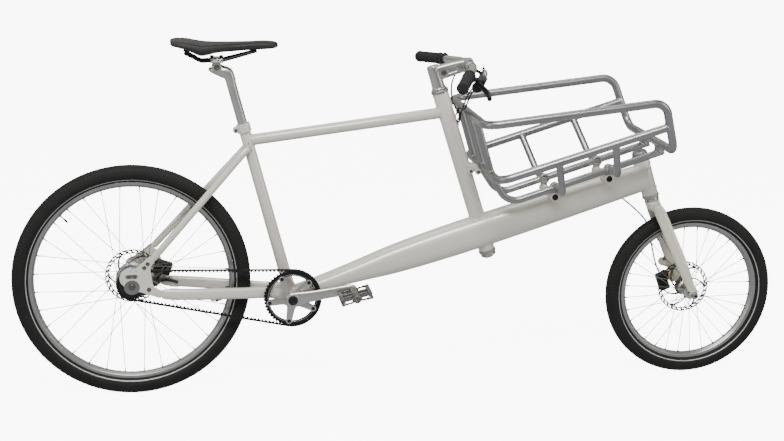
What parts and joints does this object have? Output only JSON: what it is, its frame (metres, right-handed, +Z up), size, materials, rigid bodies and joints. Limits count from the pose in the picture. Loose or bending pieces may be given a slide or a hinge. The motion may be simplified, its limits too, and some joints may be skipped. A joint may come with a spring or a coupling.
{
  "type": "cargo bike",
  "caption": "Front-loading cargo bike with a tubular basket over its main beam, linked steering, toothed belt drive and disc brakes.",
  "frame": {"origin": "on the ground, at the centre of the bounding box in length and width", "axes": "+X forward, +Z up, -Y the drive side"},
  "size_m": [2.1939, 0.6658, 1.0001],
  "materials": {
    "pearl_paint": "pearl cream gloss paint",
    "cream_paint": "warm cream gloss paint",
    "satin_aluminium": "satin",
    "bright_steel": "brushed",
    "cast_grey": "blasted dark grey",
    "black_plastic": "matt black",
    "tyre_rubber": "matt black",
    "saddle_cover": "matt dark cover"
  },
  "bodies": {
    "frame": {"main_beam": "pearl_paint", "seat_tube": "pearl_paint", "top_tube": "pearl_paint", "steering_tube": "pearl_paint", "head_tube": "pearl_paint", "bottom_bracket_shell": "pearl_paint", "chainstay_right": "pearl_paint", "chainstay_left": "pearl_paint", "seatstay_right": "pearl_paint", "seatstay_left": "pearl_paint", "dropout_right": "pearl_paint", "dropout_left": "pearl_paint", "seat_clamp": "pearl_paint", "headset_rear_lower": "satin_aluminium", "headset_rear_upper": "satin_aluminium", "headset_front_lower": "satin_aluminium", "headset_front_upper": "satin_aluminium", "rear_axle": "cast_grey", "rear_caliper": "black_plastic", "belt": "tyre_rubber", "basket_top_rail": "satin_aluminium", "basket_lower_rail": "satin_aluminium", "basket_floor_right": "satin_aluminium", "basket_floor_left": "satin_aluminium", "brake_hose_rear": "black_plastic", "brake_hose_right": "black_plastic", "shift_cable": "black_plastic", "brake_hose_left": "black_plastic", "brake_hose_front": "black_plastic"},
    "handlebar": {"stem": "satin_aluminium", "handlebar": "satin_aluminium", "grip_right": "black_plastic", "grip_left": "black_plastic", "brake_master_right": "black_plastic", "brake_master_left": "black_plastic", "bell": "bright_steel", "steering_arm_rear": "satin_aluminium"},
    "brake_lever_right": {"brake_lever_right": "black_plastic"},
    "brake_lever_left": {"brake_lever_left": "black_plastic"},
    "drag_link": {"drag_link": "bright_steel"},
    "fork": {"fork": "cream_paint", "steering_arm_front": "satin_aluminium", "front_caliper": "black_plastic"},
    "front_wheel": {"front_tyre": "tyre_rubber", "front_rim": "satin_aluminium", "front_hub": "cast_grey", "front_rotor": "bright_steel"},
    "rear_wheel": {"rear_tyre": "tyre_rubber", "rear_rim": "satin_aluminium", "rear_hub": "cast_grey", "rear_rotor": "bright_steel"},
    "crank": {"crank_right": "satin_aluminium", "crank_left": "satin_aluminium", "belt_ring": "black_plastic"},
    "rear_sprocket": {"rear_sprocket": "black_plastic"},
    "pedal_right": {"pedal_right": "cast_grey"},
    "pedal_left": {"pedal_left": "cast_grey"},
    "seatpost": {"seatpost": "satin_aluminium"},
    "saddle": {"saddle": "saddle_cover", "saddle_rails": "bright_steel"}
  },
  "joints": [
    {"name": "handlebar_turn", "type": "hinge", "parent": "frame", "child": "handlebar", "pos_m": [0.23775, 0, 0.392], "axis": [-0.304, 0, 0.9527], "range_deg": [-38, 38], "deforming": ["brake_hose_right", "shift_cable", "brake_hose_left"]},
    {"name": "fork_turn", "type": "hinge", "parent": "frame", "child": "fork", "pos_m": [0.71915, 0, 0.5435], "axis": [-0.304, 0, 0.9527], "range_deg": [-38, 38], "deforming": ["brake_hose_front"]},
    {"name": "drag_link_turn", "type": "hinge", "parent": "handlebar", "child": "drag_link", "pos_m": [0.2358, 0.066, 0.3981], "axis": [-0.304, 0, 0.9527], "range_deg": [-38, 38]},
    {"name": "front_wheel_spin", "type": "hinge", "parent": "fork", "child": "front_wheel", "pos_m": [0.84925, 0, 0.2505], "axis": [0, 1, 0], "continuous": true},
    {"name": "rear_wheel_spin", "type": "hinge", "parent": "frame", "child": "rear_wheel", "pos_m": [-0.77075, 0, 0.329], "axis": [0, 1, 0], "continuous": true},
    {"name": "crank_turn", "type": "hinge", "parent": "frame", "child": "crank", "pos_m": [-0.32825, 0, 0.278], "axis": [0, 1, 0], "continuous": true, "deforming": ["belt"]},
    {"name": "rear_sprocket_turn", "type": "hinge", "parent": "frame", "child": "rear_sprocket", "pos_m": [-0.77075, 0, 0.329], "axis": [0, 1, 0], "continuous": true},
    {"name": "pedal_right_spin", "type": "hinge", "parent": "crank", "child": "pedal_right", "pos_m": [-0.16034, 0, 0.30459], "axis": [0, 1, 0], "continuous": true},
    {"name": "pedal_left_spin", "type": "hinge", "parent": "crank", "child": "pedal_left", "pos_m": [-0.49616, 0, 0.25141], "axis": [0, 1, 0], "continuous": true},
    {"name": "brake_lever_right_pull", "type": "hinge", "parent": "handlebar", "child": "brake_lever_right", "pos_m": [0.15663, -0.21767, 0.90153], "axis": [-0.4055, 0.1987, -0.8922], "range_deg": [0, 18], "stiffness_Nm_per_rad": 0.6, "springref_deg": -8.59},
    {"name": "brake_lever_left_pull", "type": "hinge", "parent": "handlebar", "child": "brake_lever_left", "pos_m": [0.15663, 0.21767, 0.90153], "axis": [0.4055, 0.1987, 0.8922], "range_deg": [0, 18], "stiffness_Nm_per_rad": 0.6, "springref_deg": -8.59},
    {"name": "seatpost_slide", "type": "slide", "parent": "frame", "child": "seatpost", "axis": [-0.2588, 0, 0.9659], "range_m": [-0.1, 0.06]},
    {"name": "saddle_tilt", "type": "hinge", "parent": "seatpost", "child": "saddle", "pos_m": [-0.52825, 0, 0.9255], "axis": [0, 1, 0], "range_deg": [-12, 12]}
  ],
  "couplings": [
    {"joint": "fork_turn", "follows": "handlebar_turn", "ratio": 1},
    {"joint": "drag_link_turn", "follows": "handlebar_turn", "ratio": -1},
    {"joint": "rear_sprocket_turn", "follows": "crank_turn", "ratio": 2}
  ]
}
